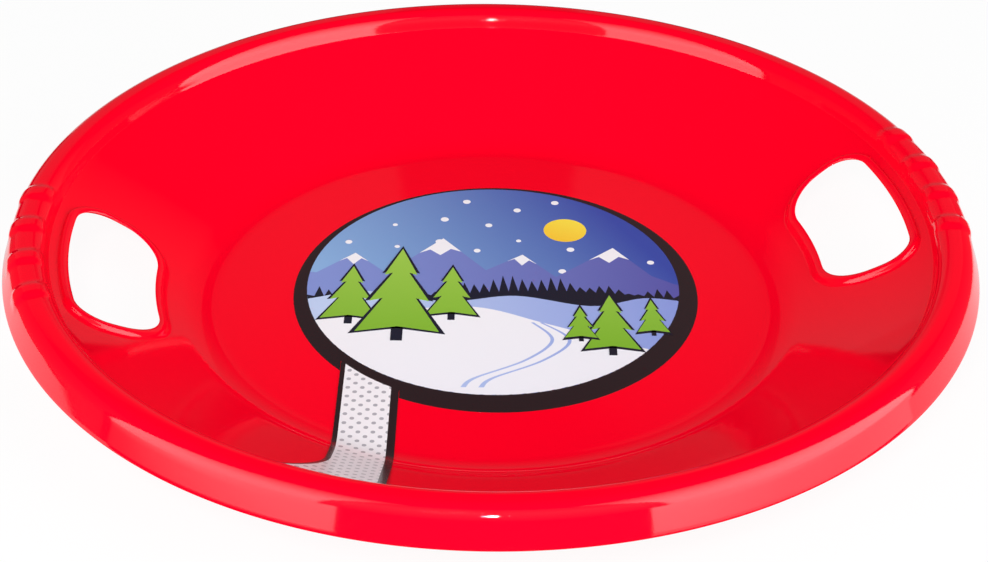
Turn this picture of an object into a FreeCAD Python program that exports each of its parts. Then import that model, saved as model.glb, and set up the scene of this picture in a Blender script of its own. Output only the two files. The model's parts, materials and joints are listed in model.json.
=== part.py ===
import FreeCAD, Part
import math
import os

# Saucer sled: a moulded plastic dish with two hand-holes, a round decal and a tail label.
# Frame: origin on the ground under the middle of the dish, +Z up, hand-holes on the X axis.
# Lengths are in millimetres and angles in degrees.

# Dish
overall_diameter = 500.0      # across the lower edge of the skirt
side_width = 108.0            # in plan, from the flat floor out to the lower edge of the skirt
inner_depth = 52.8            # from the top of the rim down to the floor
wall_thickness = 2.5
floor_bend_radius = 40.0      # between the floor and the sloping wall

# Section of the rim, measured on its upper and outer surface
rim_foot_radius = 1.0         # hollow bend where the wall meets the rim
rim_inner_slope = 72.0        # from the horizontal
rim_inner_face = 3.6          # straight stretch of the rim's inner side
rim_inner_round = 8.2
rim_top_width = 3.0           # flat along the top of the rim
rim_outer_round = 8.0
skirt_height = 18.2           # from the top of the rim to the skirt's lower edge
skirt_draft = 20.0            # from the vertical

# Hand-holes, one on each side
hand_hole_count = 2
hand_hole_length = 96.6       # along the rim, at the middle of the hole
hand_hole_inner_margin = 12.8 # in plan, from the foot of the sloping wall to the hole
hand_hole_outer_margin = 9.1  # in plan, from the hole to the foot of the rim
hand_hole_inner_corner = 23.6
hand_hole_outer_corner = 14.5
bead_width = 4.6              # raised edge round each hole
bead_height = 2.6
bead_round = 1.4

# Finger pads on the rim beside each hand-hole
pad_count = 4
pad_pitch = 31.4              # along the top of the rim
pad_length = 16.4             # along the top of the rim
pad_height = 1.0
pad_end_margin = 4.0          # along the skirt, from the pad's end to the rounded lower edge

# Printed films on the floor
film_thickness = 0.15
film_seam = 0.2               # gap between the disc and the strip
film_lift = 0.3               # clearance of the strip, which lies on a curved seat
decal_margin = 35.0           # bare floor round the disc, where it is stuck on true
decal_offset = 2.6            # the disc is stuck on a little off the middle
decal_offset_angle = -9.1
tail_angle = 260.9            # the way the strip runs, out over the wall
tail_inset = 47.1             # from the disc's side to the strip's middle line
tail_width = 30.2
tail_overlap = 5.5            # how far the strip's head reaches into the disc
tail_end_margin = 7.3         # along the wall, from the strip's end to the foot of the rim
tail_flare_run = 62.0         # along the strip, from the start of its flare to the foot of the rim
tail_flare_radius = 38.0
tail_flare_angle = 58.0

root_share = 0.5              # of the wall, how deep a raised feature is rooted in it
fillet_share = 0.95           # of the room that an edge leaves for its rounding
overrun = 20.0                # how far cutting shapes reach past what they cut
touch = 0.001                 # points this near are the same

outer_radius = overall_diameter / 2
floor_radius = outer_radius - side_width
decal_radius = floor_radius - decal_margin
floor_top = wall_thickness
rim_top = floor_top + inner_depth

UP = FreeCAD.Vector(0, 0, 1)
ORIGIN = FreeCAD.Vector(0, 0, 0)
FULL_ANGLE = 360
HALF_ANGLE = 180
RIGHT_ANGLE = 90


def sine(angle):
    """Sine of an angle in degrees."""
    return math.sin(math.radians(angle))


def cosine(angle):
    """Cosine of an angle in degrees."""
    return math.cos(math.radians(angle))


def polar(radius, angle):
    """A point in plan, from its distance and its direction."""
    return FreeCAD.Vector(radius * cosine(angle), radius * sine(angle), 0)


def run(length):
    """A straight step of a section."""
    return ("run", length, 0)


def bend(radius, turn):
    """A round step of a section, tangent to its neighbours. A positive turn bends upwards."""
    return ("bend", radius, turn)


class Section:
    """A chain of runs and bends in the XZ plane, from a start point and a heading."""

    def __init__(self, start, heading, steps):
        self.start = start
        self.heading = heading
        self.steps = steps

    def trace(self, offset):
        """Edges of the chain, moved to its upper side by the offset."""
        heading = self.heading
        point = self.start + self.upward(heading) * offset
        edges = []
        for kind, size, turn in self.steps:
            if kind == "run":
                end = point + FreeCAD.Vector(cosine(heading), 0, sine(heading)) * size
                edges.append(Part.makeLine(point, end))
            else:
                sense = math.copysign(1, turn)
                centre = point + self.upward(heading) * (sense * size - offset)
                middle = self.swing(point, centre, turn / 2)
                end = self.swing(point, centre, turn)
                edges.append(Part.Arc(point, middle, end).toShape())
            heading += turn
            point = end
        return edges

    @staticmethod
    def upward(heading):
        """The direction square to a heading, on its upper side."""
        return FreeCAD.Vector(-sine(heading), 0, cosine(heading))

    @staticmethod
    def swing(point, centre, turn):
        """A point turned about a centre in the XZ plane."""
        arm = point - centre
        across = arm.x * cosine(turn) - arm.z * sine(turn)
        rise = arm.x * sine(turn) + arm.z * cosine(turn)
        return centre + FreeCAD.Vector(across, 0, rise)

    def band(self, low, high, round_end=False):
        """The face between two offsets of the chain, with a full round at its far end if asked for."""
        lower = self.trace(low)
        upper = self.trace(high)
        near_low, near_high = first_point(lower), first_point(upper)
        far_low, far_high = last_point(lower), last_point(upper)
        if round_end:
            heading = self.heading + sum(turn for kind, size, turn in self.steps)
            ahead = FreeCAD.Vector(cosine(heading), 0, sine(heading))
            tip = (far_low + far_high) / 2 + ahead * (high - low) / 2
            end_cap = Part.Arc(far_low, tip, far_high).toShape()
        else:
            end_cap = Part.makeLine(far_low, far_high)
        edges = lower + upper + [end_cap, Part.makeLine(near_low, near_high)]
        return Part.Face(Part.Wire(Part.__sortEdges__(edges)))


def first_point(edges):
    """Start of a chain of edges."""
    return edges[0].valueAt(edges[0].FirstParameter)


def last_point(edges):
    """End of a chain of edges."""
    return edges[-1].valueAt(edges[-1].LastParameter)


def revolve(face, span, start):
    """A face in the XZ plane turned about the dish's axis through a span, from a start direction."""
    solid = face.revolve(ORIGIN, UP, span)
    solid.rotate(ORIGIN, UP, start)
    return solid


def turned(shape, angle):
    """A copy of a shape turned about the dish's axis."""
    copy = shape.copy()
    copy.rotate(ORIGIN, UP, angle)
    return copy


# The wall is the straight line that touches the floor's bend and the bend at the rim's foot.
skirt_end_round = wall_thickness / 2
rim_outer_drop = rim_outer_round * (1 - sine(skirt_draft))
skirt_run = (skirt_height - skirt_end_round - rim_outer_drop) / cosine(skirt_draft)
crest_radius = outer_radius - rim_outer_round * cosine(skirt_draft) - skirt_run * sine(skirt_draft)
foot_centre_radius = (crest_radius - rim_top_width
                      - (rim_inner_round + rim_foot_radius) * sine(rim_inner_slope)
                      - rim_inner_face * cosine(rim_inner_slope))
foot_centre_height = (rim_top - rim_inner_round * (1 - cosine(rim_inner_slope))
                      - rim_inner_face * sine(rim_inner_slope) + rim_foot_radius * cosine(rim_inner_slope))
centres_across = foot_centre_radius - floor_radius
centres_rise = foot_centre_height - (floor_top + floor_bend_radius)
bend_difference = floor_bend_radius - rim_foot_radius
wall_run = math.sqrt(centres_across ** 2 + centres_rise ** 2 - bend_difference ** 2)
wall_slope = math.degrees(math.atan2(centres_rise, centres_across) + math.atan2(bend_difference, wall_run))

wall_start = FreeCAD.Vector(floor_radius + floor_bend_radius * sine(wall_slope), 0,
                            floor_top + floor_bend_radius * (1 - cosine(wall_slope)))
wall_end = wall_start + FreeCAD.Vector(wall_run * cosine(wall_slope), 0, wall_run * sine(wall_slope))
rim_start = FreeCAD.Vector(foot_centre_radius + rim_foot_radius * sine(rim_inner_slope), 0,
                           foot_centre_height - rim_foot_radius * cosine(rim_inner_slope))

floor_bend = bend(floor_bend_radius, wall_slope)
foot_bend = bend(rim_foot_radius, rim_inner_slope - wall_slope)
rim_steps = [
    run(rim_inner_face),
    bend(rim_inner_round, -rim_inner_slope),
    run(rim_top_width),
    bend(rim_outer_round, skirt_draft - RIGHT_ANGLE),
]
pad_drop = skirt_run - pad_end_margin
tail_offset = decal_radius - tail_inset
tail_flare_start = wall_end.x - tail_flare_run


def make_shell():
    """The plain dish: floor, wall, rim and skirt in one even thickness."""
    steps = [run(floor_radius), floor_bend, run(wall_run), foot_bend] + rim_steps + [run(skirt_run)]
    section = Section(FreeCAD.Vector(0, 0, floor_top), 0, steps)
    return revolve(section.band(-wall_thickness, 0, round_end=True), FULL_ANGLE, 0)


def hand_hole_outline():
    """Plan of the right-hand hole: two arcs about the dish's axis and radial sides, with round corners."""
    outer = wall_end.x - hand_hole_outer_margin
    inner = wall_start.x + hand_hole_inner_margin
    half_angle = math.degrees(math.asin(hand_hole_length / (inner + outer)))
    corners = {
        hand_hole_inner_corner: [polar(inner, -half_angle), polar(inner, half_angle)],
        hand_hole_outer_corner: [polar(outer, -half_angle), polar(outer, half_angle)],
    }
    inner_right, inner_left = corners[hand_hole_inner_corner]
    outer_right, outer_left = corners[hand_hole_outer_corner]
    sides = [
        Part.makeLine(inner_right, outer_right),
        Part.Arc(outer_right, polar(outer, 0), outer_left).toShape(),
        Part.makeLine(outer_left, inner_left),
        Part.Arc(inner_left, polar(inner, 0), inner_right).toShape(),
    ]
    block = Part.Face(Part.Wire(sides)).extrude(UP * overrun)
    for radius, places in corners.items():
        uprights = [edge for edge in block.Edges if stands_on(edge, places)]
        block = block.makeFillet(radius, uprights)
    base = min(block.Faces, key=lambda face: face.CenterOfMass.z)
    return base.OuterWire


def stands_on(edge, places):
    """Whether an edge is an upright on one of the places in plan."""
    middle = edge.CenterOfMass
    foot = FreeCAD.Vector(middle.x, middle.y, 0)
    return any(foot.isEqual(place, touch) for place in places)


def upright_block(outline):
    """A plan outline drawn up from below the ground to above the rim."""
    base = outline.translated(UP * -overrun)
    return Part.Face(base).extrude(UP * (rim_top + 2 * overrun))


def bead_fillet():
    """The rounding of the bead's top edges, limited by the height of its sides and by its width."""
    sharp_edge = math.tan(math.radians(RIGHT_ANGLE - wall_slope) / 2)
    side_height = bead_height / cosine(wall_slope)
    top_width = bead_width / cosine(wall_slope)
    side_limit = side_height * sharp_edge
    top_limit = top_width / (1 / sharp_edge + sharp_edge)
    return min(bead_round, fillet_share * side_limit, fillet_share * top_limit)


def make_bead(hole_block, bead_block):
    """The raised edge round a hand-hole, rounded on top."""
    wall = Section(wall_start, wall_slope, [run(wall_run)])
    collar = revolve(wall.band(-wall_thickness, bead_height), HALF_ANGLE, -RIGHT_ANGLE)
    bead = collar.common(bead_block.cut(hole_block)).Solids[0]
    cones = [face for face in bead.Faces if isinstance(face.Surface, Part.Cone)]
    top = max(cones, key=lambda face: face.CenterOfMass.z)
    return bead.makeFillet(bead_fillet(), top.Edges)


def make_pad():
    """One finger pad on +X: a low crown over the rim that dies away in the hollow at the rim's foot."""
    root = wall_thickness * root_share
    half_length = pad_length / 2
    crown_radius = (half_length ** 2 + pad_height ** 2) / (2 * pad_height)
    root_half = math.sqrt(crown_radius ** 2 - (crown_radius - pad_height - root) ** 2)
    lead = math.sqrt(2 * rim_foot_radius * pad_height)
    back = FreeCAD.Vector(cosine(rim_inner_slope), 0, sine(rim_inner_slope)) * -lead
    start = rim_start + back
    path = Section(start, rim_inner_slope, [run(lead)] + rim_steps + [run(pad_drop)])
    outward = Section.upward(rim_inner_slope)
    top = start + outward * pad_height
    ends = [start - outward * root + FreeCAD.Vector(0, side * root_half, 0) for side in (-1, 1)]
    crown = Part.Wire([Part.Arc(ends[0], top, ends[1]).toShape(), Part.makeLine(ends[1], ends[0])])
    pad = Part.Wire(path.trace(0)).makePipe(Part.Face(crown))
    foot = Section(wall_end, wall_slope, [foot_bend] + rim_steps + [run(pad_drop)])
    return pad.common(revolve(foot.band(-root / 2, overrun), HALF_ANGLE, -RIGHT_ANGLE)).Solids[0]


def make_dish():
    """The whole moulding, with its hand-holes, their beads and the finger pads."""
    hole = hand_hole_outline()
    hole_block = upright_block(hole)
    bead_block = upright_block(hole.makeOffset2D(bead_width))
    bead = make_bead(hole_block, bead_block)
    pad = make_pad()
    pitch = math.degrees(pad_pitch / crest_radius)
    dish = make_shell()
    additions = []
    for side in range(hand_hole_count):
        side_angle = FULL_ANGLE / hand_hole_count * side
        dish = dish.cut(turned(hole_block, side_angle))
        additions.append(turned(bead, side_angle))
        for place in range(pad_count):
            pad_angle = (place - (pad_count - 1) / 2) * pitch
            additions.append(turned(pad, side_angle + pad_angle))
    return dish.fuse(additions).removeSplitter().Solids[0]


def tail_outline():
    """Plan of the strip: straight sides that run out past the wall, one of them flaring at the end."""
    near_side = tail_offset - tail_width / 2
    far_side = tail_offset + tail_width / 2
    half_flare = tail_flare_angle / 2
    flare_start = FreeCAD.Vector(tail_flare_start, -far_side, 0)
    flare_middle = flare_start + flare_step(half_flare)
    flare_end = flare_start + flare_step(tail_flare_angle)
    tip = flare_end + polar(overrun, -tail_flare_angle)
    end_corner = FreeCAD.Vector(tip.x, -near_side, 0)
    head_corner = FreeCAD.Vector(0, -near_side, 0)
    far_head_corner = FreeCAD.Vector(0, -far_side, 0)
    outline = Part.Wire([
        Part.makeLine(head_corner, end_corner),
        Part.makeLine(end_corner, tip),
        Part.makeLine(tip, flare_end),
        Part.Arc(flare_end, flare_middle, flare_start).toShape(),
        Part.makeLine(flare_start, far_head_corner),
        Part.makeLine(far_head_corner, head_corner),
    ])
    return turned(outline, tail_angle)


def flare_step(angle):
    """The way along the flare's arc, from its start to where it has turned by an angle."""
    return FreeCAD.Vector(sine(angle), cosine(angle) - 1, 0) * tail_flare_radius


def decal_cylinder(radius):
    """An upright cylinder about the middle of the disc."""
    middle = polar(decal_offset, decal_offset_angle)
    return Part.makeCylinder(radius, rim_top, middle)


def make_round_decal():
    """The film disc on the floor, with a notch for the strip's head."""
    middle = polar(decal_offset, decal_offset_angle) + UP * floor_top
    disc = Part.makeCylinder(decal_radius, film_thickness, middle)
    notch = upright_block(tail_outline().makeOffset2D(film_seam))
    notch = notch.cut(decal_cylinder(decal_radius - tail_overlap - film_seam))
    return disc.cut(notch).Solids[0]


def make_tail_label():
    """The film strip, which lies on the floor, its bend and the wall."""
    head_radius = decal_radius - tail_overlap
    start_radius = head_radius - decal_offset - overrun
    steps = [run(floor_radius - start_radius), floor_bend, run(wall_run - tail_end_margin)]
    section = Section(FreeCAD.Vector(start_radius, 0, floor_top), 0, steps)
    skin = revolve(section.band(film_lift, film_lift + film_thickness), FULL_ANGLE, 0)
    strip = upright_block(tail_outline()).cut(decal_cylinder(head_radius))
    return skin.common(strip).Solids[0]


nodes = {
    "dish": make_dish,
    "round_decal": make_round_decal,
    "tail_label": make_tail_label,
}
os.makedirs("parts", exist_ok=True)
for name, make in nodes.items():
    shape = make()
    box = shape.BoundBox
    print(name, "valid", shape.isValid(), "faces", len(shape.Faces), "volume", round(shape.Volume, 1),
          "box", [round(v, 2) for v in (box.XMin, box.YMin, box.ZMin, box.XMax, box.YMax, box.ZMax)])
    shape.exportStep("parts/" + name + ".step")
print("wall slope", round(wall_slope, 2), "run", round(wall_run, 2), "end radius", round(wall_end.x, 2))
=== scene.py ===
"""Looks of a saucer sled: a glossy dish with beaded hand-holes, finger pads and two printed films."""
import json
import logging
import math
from contextlib import contextmanager
from dataclasses import dataclass, field
from enum import Enum, IntEnum
from typing import Callable, ClassVar, Iterator, Sequence

import bmesh
import bpy
from bpy.types import Material, Node, NodeSocket, NodeTree, Object
from mathutils import Matrix, Vector

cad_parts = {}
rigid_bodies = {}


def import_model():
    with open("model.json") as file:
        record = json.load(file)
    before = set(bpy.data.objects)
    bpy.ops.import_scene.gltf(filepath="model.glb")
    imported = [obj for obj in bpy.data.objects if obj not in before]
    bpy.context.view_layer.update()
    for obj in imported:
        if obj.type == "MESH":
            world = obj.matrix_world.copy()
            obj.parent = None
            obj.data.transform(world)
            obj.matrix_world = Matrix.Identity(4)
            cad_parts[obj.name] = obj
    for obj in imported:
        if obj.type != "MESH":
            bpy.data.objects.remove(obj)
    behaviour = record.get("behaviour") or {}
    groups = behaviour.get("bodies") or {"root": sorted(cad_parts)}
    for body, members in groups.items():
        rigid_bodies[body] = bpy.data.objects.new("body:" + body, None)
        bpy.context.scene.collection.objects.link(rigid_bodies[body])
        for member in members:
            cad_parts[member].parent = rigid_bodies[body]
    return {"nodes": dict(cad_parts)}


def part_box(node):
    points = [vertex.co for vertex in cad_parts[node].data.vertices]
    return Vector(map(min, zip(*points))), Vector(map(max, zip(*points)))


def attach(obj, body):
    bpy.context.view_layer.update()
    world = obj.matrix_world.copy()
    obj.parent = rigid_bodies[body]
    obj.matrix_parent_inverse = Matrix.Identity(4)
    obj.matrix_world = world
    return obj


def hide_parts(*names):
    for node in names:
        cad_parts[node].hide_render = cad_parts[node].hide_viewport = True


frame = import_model()

LOG = logging.getLogger("saucer_sled")
BODY = "root"
ORIGIN = Vector((0.0, 0.0, 0.0))
UP = Vector((0.0, 0.0, 1.0))
QUARTER = math.pi / 2
SMOOTH_ANGLE = math.radians(40)
LABEL_HEADING = math.radians(260.9)
WHITE = (1.0, 1.0, 1.0, 1.0)
Colour = tuple[float, float, float]
Point = tuple[float, float]


def mm(length: float) -> float:
    """A length in millimetres, as metres."""
    return length / 1000


def polar(radius: float, angle: float, height: float = 0.0) -> Vector:
    """A point from its distance to the axis, its direction in radians and its height."""
    return Vector((radius * math.cos(angle), radius * math.sin(angle), height))


class Tool(Enum):
    """The modifiers that finish pieces."""

    WALL = "SOLIDIFY"
    CUT = "BOOLEAN"


class Slot(Enum):
    """The record's material slots."""

    DISH = "dish_plastic"
    DECAL = "decal_film"
    LABEL = "label_film"


# Bench work


def use(piece: Object) -> None:
    """Selects one object alone and makes it active.

    Args:
        piece: The object to work on next.
    """
    for other in bpy.context.view_layer.objects:
        other.select_set(False)
    piece.select_set(True)
    bpy.context.view_layer.objects.active = piece


@contextmanager
def editing(piece: Object, whole: bool = False) -> Iterator[None]:
    """Edit mode on one piece, which starts with none or all of its points selected.

    Args:
        piece: The mesh object to work on.
        whole: Whether all of it is selected.

    Returns:
        A context that goes back to object mode at its end.
    """
    use(piece)
    bpy.ops.object.mode_set(mode="EDIT")
    bpy.ops.mesh.select_mode(type="VERT")
    bpy.ops.mesh.select_all(action="SELECT" if whole else "DESELECT")
    yield
    bpy.ops.object.mode_set(mode="OBJECT")


def pick(piece: Object, test: Callable[[Vector], bool]) -> int:
    """Selects, in edit mode, only the points whose place passes a test.

    Args:
        piece: The mesh object in edit mode.
        test: Says of a place whether its point is wanted.

    Returns:
        How many points are selected.
    """
    bpy.ops.mesh.select_all(action="DESELECT")
    shape = bmesh.from_edit_mesh(piece.data)
    chosen = [point for point in shape.verts if test(point.co)]
    for point in chosen:
        point.select = True
    shape.select_flush(True)
    bmesh.update_edit_mesh(piece.data)
    return len(chosen)


def extrude_to(piece: Object, extrude: Callable[[], set[str]], places: Sequence[Vector],
               targets: Sequence[Vector]) -> None:
    """Extrudes what is selected and sets each new point in its place.

    Args:
        piece: The mesh object in edit mode, with a ring of edges or a face selected.
        extrude: The operator for it.
        places: Where the selected points are.
        targets: Where the extruded points go, in the same order.
    """
    extrude()
    shape = bmesh.from_edit_mesh(piece.data)
    for point in shape.verts:
        if point.select:
            nearest = min(range(len(places)), key=lambda at: (places[at] - point.co).length_squared)
            point.co = targets[nearest]
    bmesh.update_edit_mesh(piece.data)


def finish_with(piece: Object, tool: Tool, **settings: object) -> None:
    """Adds a modifier with its settings and applies it.

    Args:
        piece: The object to finish.
        tool: Which modifier.
        settings: The modifier's own values.
    """
    use(piece)
    modifier = piece.modifiers.new(tool.name.lower(), tool.value)
    for name, value in settings.items():
        setattr(modifier, name, value)
    bpy.ops.object.modifier_apply(modifier=modifier.name)


def merge_and_face_out(piece: Object, gap: float = mm(0.002)) -> None:
    """Merges doubled points and turns the faces outwards.

    Args:
        piece: The object to clean.
        gap: How close two points are to count as one.
    """
    with editing(piece, whole=True):
        bpy.ops.mesh.remove_doubles(threshold=gap)
        bpy.ops.mesh.normals_make_consistent(inside=False)


def smooth(piece: Object) -> None:
    """Shades a piece smooth across all but its sharp edges."""
    use(piece)
    bpy.ops.object.shade_smooth_by_angle(angle=SMOOTH_ANGLE)


def set_out(name: str, places: Sequence[Vector]) -> Object:
    """A circle of points set out along a closed line.

    Args:
        name: Name of the new object.
        places: The places of its points.

    Returns:
        The object, a closed chain of edges.
    """
    bpy.ops.mesh.primitive_circle_add(vertices=len(places))
    piece = bpy.context.active_object
    piece.name = name
    for point, place in zip(piece.data.vertices, places):
        point.co = place
    return piece


def turned_copy(piece: Object, angle: float) -> Object:
    """A copy of a piece, with its own mesh, turned about the dish's axis.

    Args:
        piece: The object to copy.
        angle: The turn in radians.

    Returns:
        The copy, with its place in its mesh.
    """
    copy = piece.copy()
    copy.data = piece.data.copy()
    bpy.context.collection.objects.link(copy)
    copy.data.transform(Matrix.Rotation(angle, 4, "Z"))
    return copy


def join(main: Object, others: Sequence[Object]) -> None:
    """Joins other objects into the main one.

    Args:
        main: The object that stays.
        others: The objects that go into it.
    """
    use(main)
    for other in others:
        other.select_set(True)
    bpy.ops.object.join()


def seat(piece: Object, slot: Slot, *replaced: str) -> None:
    """Rides a piece on the sled, hides the nodes that it stands for, and reports it.

    Args:
        piece: The finished object.
        slot: The record's slot that it takes its finish from; not used.
        replaced: The nodes that it replaces, if any.
    """
    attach(piece, BODY)
    if replaced:
        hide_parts(*replaced)
    LOG.info("%s: %d faces", piece.name, len(piece.data.polygons))


# Finishes


@dataclass(frozen=True)
class Skin:
    """How the shared surface looks on one kind of plastic. The usual values are a printed film's."""

    ior: float = 1.46
    wave_scale: float = 55.0
    wave_share: float = 0.9
    grain_scale: float = 2600.0
    scuff_scale: float = 70.0
    scuff_share: float = 0.3
    wave_height: float = mm(0.01)
    roughness: float = 0.22
    scuffed_roughness: float = 0.42


def set_inputs(node: Node, values: dict[str, object]) -> None:
    """Sets a node's input values, named with underscores for spaces."""
    for name, value in values.items():
        node.inputs[name.replace("_", " ")].default_value = value


def add_node(tree: NodeTree, kind: str, **settings: object) -> Node:
    """Adds a node to a tree.

    Args:
        tree: The node tree.
        kind: The node's type.
        settings: Properties of the node, or values of its inputs by name with underscores for spaces.

    Returns:
        The node.
    """
    node = tree.nodes.new(kind)
    for name, value in settings.items():
        if hasattr(node, name):
            setattr(node, name, value)
        else:
            set_inputs(node, {name: value})
    return node


@dataclass
class Recipe:
    """A material under construction: its node tree, with the shader and the coordinates in place."""

    name: str
    material: Material = field(init=False)
    shader: Node = field(init=False)
    coordinates: Node = field(init=False)

    def __post_init__(self) -> None:
        """Starts the material with one shader."""
        self.material = bpy.data.materials.new(self.name)
        self.material.use_nodes = True
        self.shader = self.material.node_tree.nodes["Principled BSDF"]
        self.coordinates = self.add("ShaderNodeTexCoord")

    def add(self, kind: str, **settings: object) -> Node:
        """Adds a node to the material, as add_node does."""
        return add_node(self.material.node_tree, kind, **settings)

    def link(self, source: NodeSocket, target: NodeSocket) -> None:
        """Links one socket to another."""
        self.material.node_tree.links.new(source, target)

    def set(self, **values: object) -> None:
        """Sets values on the shader's own sockets."""
        set_inputs(self.shader, values)

    def cover(self, surface: NodeTree, skin: Skin) -> None:
        """Gives the shader the bump and the gloss of the shared surface.

        Args:
            surface: The shared surface group.
            skin: How it looks on this plastic.
        """
        self.set(IOR=skin.ior)
        group = self.add("ShaderNodeGroup", node_tree=surface, Wave_Scale=skin.wave_scale,
                         Wave_Share=skin.wave_share, Grain_Scale=skin.grain_scale,
                         Scuff_Scale=skin.scuff_scale, Scuff_Share=skin.scuff_share)
        bump = self.add("ShaderNodeBump", Strength=1.0, Distance=skin.wave_height)
        gloss = self.add("ShaderNodeMapRange", To_Min=skin.roughness, To_Max=skin.scuffed_roughness)
        self.link(self.coordinates.outputs["Object"], group.inputs["Place"])
        self.link(group.outputs["Height"], bump.inputs["Height"])
        self.link(bump.outputs["Normal"], self.shader.inputs["Normal"])
        self.link(group.outputs["Scuff"], gloss.inputs["Value"])
        self.link(gloss.outputs["Result"], self.shader.inputs["Roughness"])

    def tint(self, share: NodeSocket, start: Colour, end: Colour) -> None:
        """Runs the base colour from one colour to another.

        Args:
            share: How far it has run at each place.
            start: The first colour.
            end: The last colour.
        """
        mix = self.add("ShaderNodeMix", data_type="RGBA")
        mix.inputs["A"].default_value = (*start, 1.0)
        mix.inputs["B"].default_value = (*end, 1.0)
        self.link(share, mix.inputs["Factor"])
        self.link(mix.outputs["Result"], self.shader.inputs["Base Color"])

    def axes(self, turn: float, scale: float, origin: Sequence[float] = (0.0, 0.0, 0.0)) -> Node:
        """The piece's own coordinates, moved, turned and scaled.

        Args:
            turn: Direction of the new first axis.
            scale: The length that counts as one.
            origin: The place that counts as zero.

        Returns:
            The node that parts them.
        """
        moved = self.add("ShaderNodeMapping", vector_type="TEXTURE", Location=origin,
                         Rotation=(0.0, 0.0, turn), Scale=(scale, scale, scale))
        parted = self.add("ShaderNodeSeparateXYZ")
        self.link(self.coordinates.outputs["Object"], moved.inputs["Vector"])
        self.link(moved.outputs["Vector"], parted.inputs["Vector"])
        return parted

    def maths(self, operation: str, *values: object) -> NodeSocket:
        """One step of a sum.

        Args:
            operation: What to do.
            values: The numbers or sockets to do it with.

        Returns:
            The result.
        """
        node = self.add("ShaderNodeMath", operation=operation)
        for inlet, value in zip(node.inputs, values):
            if isinstance(value, NodeSocket):
                self.link(value, inlet)
            else:
                inlet.default_value = value
        return node.outputs["Value"]


@dataclass(frozen=True)
class PlasticSurface:
    """The surface that moulded and printed plastic share: slow waves, fine grain and thin scuffs."""

    detail: float = 3.0
    wave_roughness: float = 0.5
    grain_detail: float = 1.0
    scuff_turn: float = math.radians(35)
    scuff_stretch: float = 14.0
    scuff_roughness: float = 0.6
    scuff_start: float = 0.62
    scuff_full: float = 0.78

    def make(self) -> NodeTree:
        """Makes the group.

        Returns:
            A group with a height from the waves and the grain, and a mask of the scuffs.
        """
        tree = bpy.data.node_groups.new("plastic_surface", "ShaderNodeTree")
        place = tree.interface.new_socket("Place", in_out="INPUT", socket_type="NodeSocketVector")
        place.hide_value = True
        for name in ("Wave Scale", "Wave Share", "Grain Scale", "Scuff Scale", "Scuff Share"):
            tree.interface.new_socket(name, in_out="INPUT", socket_type="NodeSocketFloat")
        for name in ("Height", "Scuff"):
            tree.interface.new_socket(name, in_out="OUTPUT", socket_type="NodeSocketFloat")
        inlet = add_node(tree, "NodeGroupInput")
        outlet = add_node(tree, "NodeGroupOutput")
        waves = add_node(tree, "ShaderNodeTexNoise", Detail=self.detail, Roughness=self.wave_roughness)
        grain = add_node(tree, "ShaderNodeTexNoise", Detail=self.grain_detail)
        mix = add_node(tree, "ShaderNodeMix", data_type="FLOAT")
        stretch = add_node(tree, "ShaderNodeMapping", Rotation=(0.0, 0.0, self.scuff_turn),
                           Scale=(1.0, self.scuff_stretch, 1.0))
        scuffs = add_node(tree, "ShaderNodeTexNoise", Detail=self.detail, Roughness=self.scuff_roughness)
        cut = add_node(tree, "ShaderNodeMapRange", From_Min=self.scuff_start, From_Max=self.scuff_full)
        share = add_node(tree, "ShaderNodeMath", operation="MULTIPLY")
        links = (
            (inlet, "Place", waves, "Vector"), (inlet, "Wave Scale", waves, "Scale"),
            (inlet, "Place", grain, "Vector"), (inlet, "Grain Scale", grain, "Scale"),
            (inlet, "Wave Share", mix, "Factor"), (grain, "Fac", mix, "A"), (waves, "Fac", mix, "B"),
            (mix, "Result", outlet, "Height"), (inlet, "Place", stretch, "Vector"),
            (stretch, "Vector", scuffs, "Vector"), (inlet, "Scuff Scale", scuffs, "Scale"),
            (scuffs, "Fac", cut, "Value"), (cut, "Result", share, 0), (inlet, "Scuff Share", share, 1),
            (share, "Value", outlet, "Scuff"),
        )
        for source, output, target, entry in links:
            tree.links.new(source.outputs[output], target.inputs[entry])
        return tree


@dataclass(frozen=True)
class Finish:
    """A finish whose colour runs from one to another over the shared surface."""

    name: str
    start: Colour
    end: Colour
    skin: ClassVar[Skin] = Skin()

    def make(self, surface: NodeTree) -> Material:
        """Makes the material.

        Args:
            surface: The shared surface group.

        Returns:
            The material.
        """
        recipe = Recipe(self.name)
        recipe.cover(surface, self.skin)
        recipe.tint(self.run(recipe), self.start, self.end)
        return recipe.material

    def run(self, recipe: Recipe) -> NodeSocket:
        """How far the colour has run at each place, which each kind of finish says for itself."""
        raise NotImplementedError


@dataclass(frozen=True)
class GlossPlastic(Finish):
    """Bright moulded plastic: a mirror-like skin with slow waves, a faint grain and fine scuffs."""

    skin: ClassVar[Skin] = Skin(ior=1.5, wave_scale=28.0, wave_share=0.97, grain_scale=1400.0,
                                scuff_scale=45.0, scuff_share=0.25, wave_height=mm(0.045),
                                roughness=0.06, scuffed_roughness=0.3)
    cloud_scale: float = 9.0
    cloud_detail: float = 2.0

    def run(self, recipe: Recipe) -> NodeSocket:
        """Soft clouds of colour.

        Args:
            recipe: The material.

        Returns:
            The clouds' value.
        """
        clouds = recipe.add("ShaderNodeTexNoise", Scale=self.cloud_scale, Detail=self.cloud_detail)
        recipe.link(recipe.coordinates.outputs["Object"], clouds.inputs["Vector"])
        return clouds.outputs["Fac"]


@dataclass(frozen=True)
class PrintedFilm(Finish):
    """Ink on a satin film that runs from one colour to another along a direction."""

    origin: tuple[float, float, float] = (0.0, 0.0, 0.0)
    along: float = 0.0
    length: float = mm(200)

    def run(self, recipe: Recipe) -> NodeSocket:
        """The way along the direction, in lengths of the run."""
        return recipe.axes(self.along, self.length, self.origin).outputs["X"]


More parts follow.
